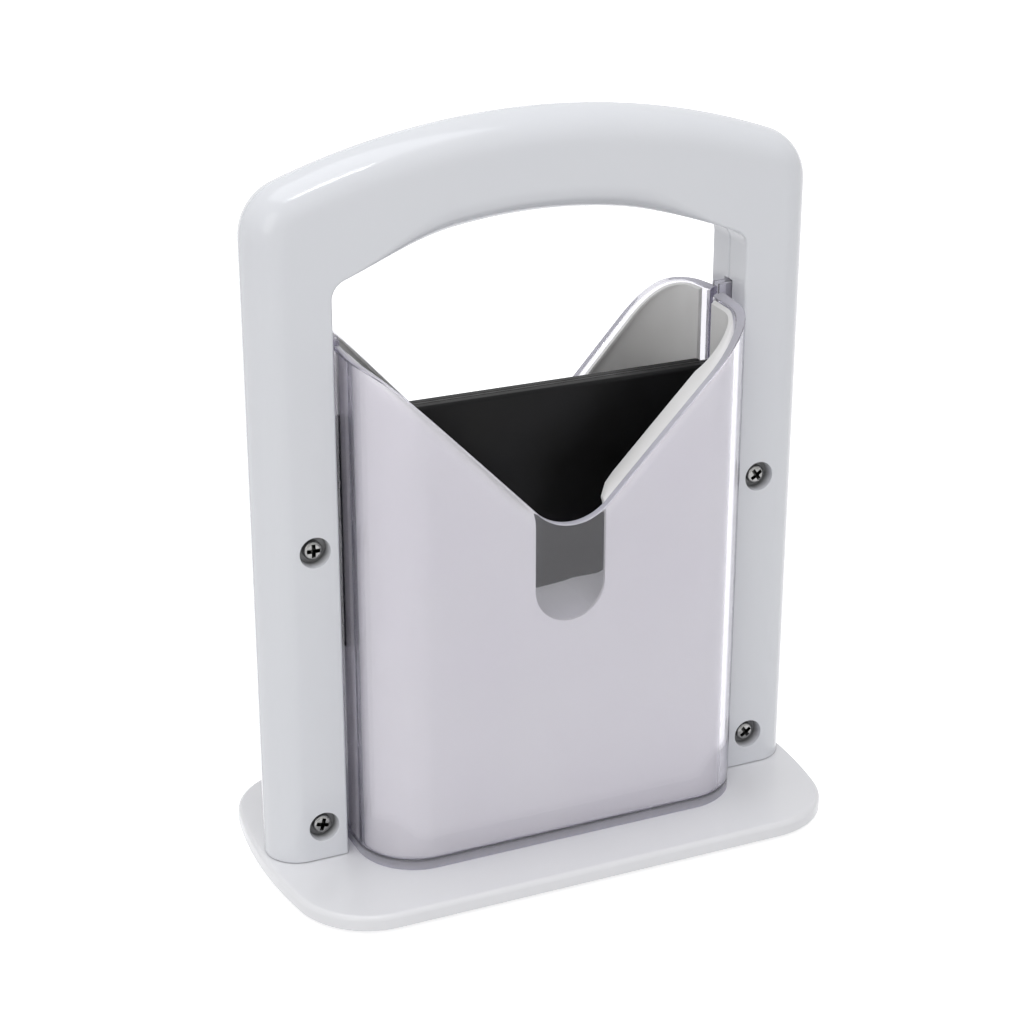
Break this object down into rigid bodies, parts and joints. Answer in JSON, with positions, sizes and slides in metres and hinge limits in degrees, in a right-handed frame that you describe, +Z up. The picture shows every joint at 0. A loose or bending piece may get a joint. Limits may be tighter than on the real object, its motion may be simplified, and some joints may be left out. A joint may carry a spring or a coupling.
{
  "type": "bagel guillotine slicer",
  "caption": "Bagel slicer with a clear, white-lined holder on a base plate and an arched handle that slides down on it with a blade between wedges.",
  "frame": {"origin": "on the table surface, under the middle of the base plate", "axes": "+X to the right along the blade, +Y from the front to the back, +Z up along the handle's travel"},
  "size_m": [0.1862, 0.1, 0.235],
  "materials": {
    "handle_white": "glossy white moulded plastic",
    "base_white": "glossy white moulded plastic",
    "liner_white": "satin white plastic sheet",
    "cradle_white": "satin white moulded plastic",
    "clear_plastic": "clear, polished, faintly violet plastic",
    "black_coating": "black non-stick coating on a steel blade",
    "black_plastic": "black moulded plastic",
    "screw_steel": "bright plated steel",
    "foot_rubber": "matt rubber"
  },
  "bodies": {
    "holder": {"base_plate": "base_white", "rubber_foot_1": "foot_rubber", "rubber_foot_2": "foot_rubber", "rubber_foot_3": "foot_rubber", "rubber_foot_4": "foot_rubber", "front_shell": "clear_plastic", "back_shell": "clear_plastic", "front_liner": "liner_white", "back_liner": "liner_white", "bagel_cradle": "cradle_white", "base_screw_1": "screw_steel", "base_screw_2": "screw_steel", "base_screw_3": "screw_steel", "base_screw_4": "screw_steel"},
    "handle": {"handle_front": "handle_white", "handle_back": "handle_white", "handle_screw_1": "screw_steel", "handle_screw_2": "screw_steel", "handle_screw_3": "screw_steel", "handle_screw_4": "screw_steel", "blade": "black_coating", "wedge_front": "black_plastic", "wedge_back": "black_plastic"}
  },
  "joints": [
    {"name": "handle_slide", "type": "slide", "parent": "holder", "child": "handle", "axis": [0, 0, 1], "range_m": [0, 0.115]}
  ]
}
